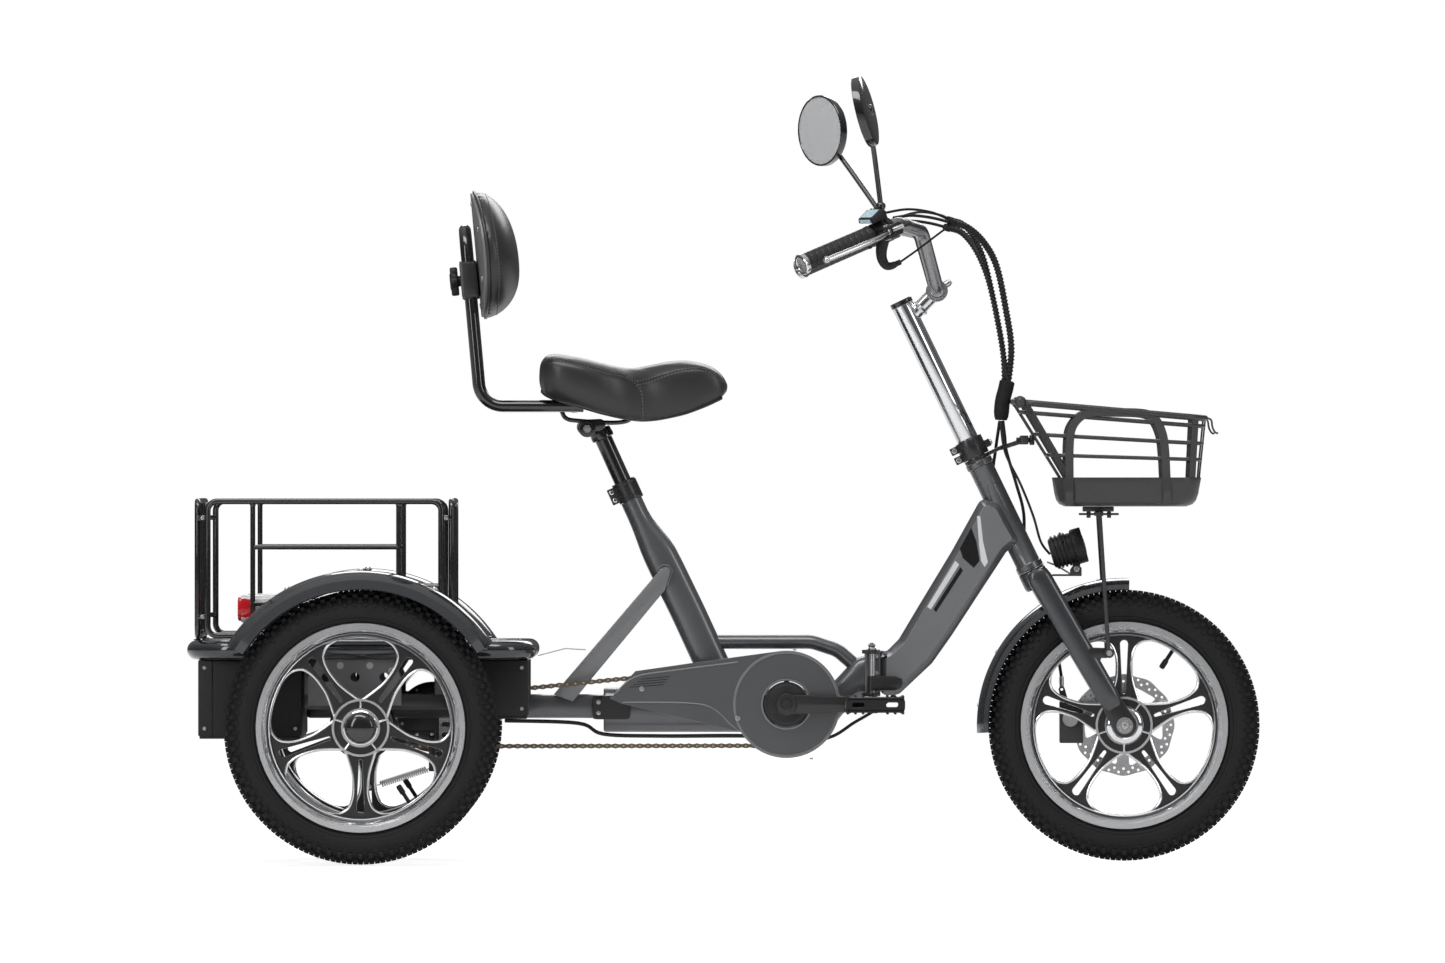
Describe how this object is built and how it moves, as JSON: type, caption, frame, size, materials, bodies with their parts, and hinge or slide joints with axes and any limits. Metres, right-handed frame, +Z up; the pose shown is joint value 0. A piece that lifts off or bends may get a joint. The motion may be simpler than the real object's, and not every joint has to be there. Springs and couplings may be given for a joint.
{
  "type": "adult tricycle",
  "caption": "Folding cargo tricycle with a low step-through frame, sprung saddle and backrest, rear rack between two wheels, front basket and electric assist.",
  "frame": {"origin": "on the ground, at the middle of the overall length and width", "axes": "+X forward, +Y to the rider's left, +Z up"},
  "size_m": [1.6739, 0.7, 1.2223],
  "materials": {
    "frame_paint": "metallic grey lacquer",
    "black_paint": "gloss black powder coat",
    "fender_gloss": "gloss dark grey",
    "chrome": "polished",
    "alloy": "brushed",
    "cast_alloy": "black with machined edges",
    "steel": "brushed",
    "chain_steel": "oiled bronze",
    "black_plastic": "matte",
    "gloss_black": "gloss",
    "tyre_rubber": "knobby",
    "grip_rubber": "soft ribbed",
    "vinyl": "grained dark grey vinyl",
    "red_lens": "translucent red",
    "white_plastic": "gloss white"
  },
  "bodies": {
    "chassis": {"rear_frame": "frame_paint", "chainguard": "frame_paint", "chain": "chain_steel", "battery_pack": "black_plastic", "seatpost_clamp": "black_paint", "carriage_frame": "frame_paint", "bumper_loop": "fender_gloss", "cargo_tray": "black_paint", "cargo_rack": "black_paint", "skirt_boxes": "black_plastic", "rear_fender_right": "fender_gloss", "rear_fender_left": "fender_gloss", "tail_lights": "white_plastic", "tail_lenses": "red_lens", "motor": "black_paint", "band_brake": "steel", "brake_spring": "steel", "rear_cable": "black_plastic"},
    "brake_arm": {"brake_arm": "black_paint"},
    "front_frame": {"front_frame": "frame_paint"},
    "fold_lever": {"fold_lever": "black_paint"},
    "steering": {"fork": "frame_paint", "front_fender": "fender_gloss", "front_caliper": "black_paint", "accessory_brackets": "black_paint", "basket": "black_paint", "basket_tray": "black_plastic", "front_cables": "black_plastic"},
    "caliper_arm": {"caliper_arm": "black_paint"},
    "headlight": {"headlight": "gloss_black"},
    "front_wheel": {"front_tyre": "tyre_rubber", "front_rim": "cast_alloy", "brake_rotor": "steel"},
    "bars": {"stem_clamp": "black_paint", "stem": "chrome", "handlebar": "alloy", "grips": "grip_rubber", "perches": "black_plastic", "display": "gloss_black", "cable_hoses": "black_plastic"},
    "throttle": {"throttle": "black_plastic"},
    "brake_lever_right": {"brake_lever_right": "alloy"},
    "brake_lever_left": {"brake_lever_left": "alloy"},
    "mirror_right": {"mirror_right": "gloss_black"},
    "mirror_left": {"mirror_left": "gloss_black"},
    "drive_wheel": {"rear_axle": "steel", "rear_tyre_right": "tyre_rubber", "rear_rim_right": "cast_alloy"},
    "free_wheel": {"rear_tyre_left": "tyre_rubber", "rear_rim_left": "cast_alloy"},
    "freewheel": {"freewheel": "steel"},
    "crankset": {"crankset": "black_paint"},
    "pedal_right": {"pedal_right": "black_plastic"},
    "pedal_left": {"pedal_left": "black_plastic"},
    "seat": {"seatpost": "black_paint", "saddle": "vinyl", "backrest_tube": "black_paint"},
    "backrest": {"backrest_pad": "vinyl", "backrest_shell": "black_plastic"},
    "knob": {"knob": "black_plastic"}
  },
  "joints": [
    {"name": "frame_fold", "type": "hinge", "parent": "chassis", "child": "front_frame", "pos_m": [0.23, 0.044, 0.29], "axis": [0, 0, 1], "range_deg": [0, 100], "deforming": ["rear_cable"]},
    {"name": "fold_latch", "type": "hinge", "parent": "chassis", "child": "fold_lever", "pos_m": [0.23, -0.043, 0.278], "axis": [0, 0, 1], "range_deg": [-120, 0]},
    {"name": "steering", "type": "hinge", "parent": "front_frame", "child": "steering", "pos_m": [0.387, 0, 0.645], "axis": [-0.4368, 0, 0.8996], "range_deg": [-50, 50]},
    {"name": "headlight_tilt", "type": "hinge", "parent": "steering", "child": "headlight", "pos_m": [0.55, 0, 0.457], "axis": [0, 1, 0], "range_deg": [0, 15]},
    {"name": "caliper_arm_pull", "type": "hinge", "parent": "steering", "child": "caliper_arm", "pos_m": [0.542, 0.056, 0.214], "axis": [0, 1, 0], "range_deg": [0, 13.5], "stiffness_Nm_per_rad": 0.2},
    {"name": "front_wheel_spin", "type": "hinge", "parent": "steering", "child": "front_wheel", "pos_m": [0.6245, 0, 0.2125], "axis": [0, 1, 0], "continuous": true},
    {"name": "stem_height", "type": "slide", "parent": "steering", "child": "bars", "axis": [-0.4368, 0, 0.8996], "range_m": [0, 0.06], "deforming": ["cable_hoses"]},
    {"name": "throttle_push", "type": "hinge", "parent": "bars", "child": "throttle", "pos_m": [0.22699, -0.23251, 0.97704], "axis": [-0.7968, -0.4957, -0.3455], "range_deg": [0, 25], "stiffness_Nm_per_rad": 0.05},
    {"name": "brake_pull_right", "type": "hinge", "parent": "bars", "child": "brake_lever_right", "pos_m": [0.2516, -0.25253, 0.98084], "axis": [-0.2933, -0.1825, 0.9384], "range_deg": [0, 9], "stiffness_Nm_per_rad": 0.6},
    {"name": "brake_pull_left", "type": "hinge", "parent": "bars", "child": "brake_lever_left", "pos_m": [0.2516, 0.25253, 0.98084], "axis": [0.2933, -0.1825, -0.9384], "range_deg": [-9, 0], "stiffness_Nm_per_rad": 0.6},
    {"name": "mirror_turn_right", "type": "hinge", "parent": "bars", "child": "mirror_right", "pos_m": [0.24193, -0.22322, 1.02188], "axis": [0, 0, 1], "range_deg": [-30, 30]},
    {"name": "mirror_turn_left", "type": "hinge", "parent": "bars", "child": "mirror_left", "pos_m": [0.24193, 0.22322, 1.02188], "axis": [0, 0, 1], "range_deg": [-30, 30]},
    {"name": "drive_wheel_spin", "type": "hinge", "parent": "chassis", "child": "drive_wheel", "pos_m": [-0.5645, 0, 0.2125], "axis": [0, 1, 0], "continuous": true},
    {"name": "free_wheel_spin", "type": "hinge", "parent": "drive_wheel", "child": "free_wheel", "pos_m": [-0.5645, 0.31, 0.2125], "axis": [0, 1, 0], "continuous": true},
    {"name": "crank_spin", "type": "hinge", "parent": "chassis", "child": "crankset", "pos_m": [0.096, 0, 0.246], "axis": [0, 1, 0], "continuous": true},
    {"name": "freewheel_spin", "type": "hinge", "parent": "chassis", "child": "freewheel", "pos_m": [-0.5645, 0, 0.2125], "axis": [0, 1, 0], "continuous": true},
    {"name": "pedal_spin_right", "type": "hinge", "parent": "crankset", "child": "pedal_right", "pos_m": [0.234, -0.13, 0.246], "axis": [0, 1, 0], "continuous": true},
    {"name": "pedal_spin_left", "type": "hinge", "parent": "crankset", "child": "pedal_left", "pos_m": [-0.042, 0.13, 0.246], "axis": [0, 1, 0], "continuous": true},
    {"name": "seat_height", "type": "slide", "parent": "chassis", "child": "seat", "axis": [-0.4115, 0, 0.9114], "range_m": [-0.05, 0.03]},
    {"name": "backrest_height", "type": "slide", "parent": "seat", "child": "backrest", "axis": [-0.0906, 0, 0.9959], "range_m": [-0.06, 0.005]},
    {"name": "knob_turn", "type": "hinge", "parent": "backrest", "child": "knob", "pos_m": [-0.4135, 0, 0.909], "axis": [-0.9959, 0, -0.0906], "continuous": true},
    {"name": "brake_arm_pull", "type": "hinge", "parent": "chassis", "child": "brake_arm", "pos_m": [-0.5585, -0.108, 0.1565], "axis": [0, 1, 0], "range_deg": [0, 9], "deforming": ["brake_spring"]}
  ],
  "couplings": [
    {"joint": "freewheel_spin", "follows": "crank_spin", "ratio": 2},
    {"joint": "brake_arm_pull", "follows": "brake_pull_left", "ratio": -1},
    {"joint": "caliper_arm_pull", "follows": "brake_pull_right", "ratio": 1.5}
  ]
}
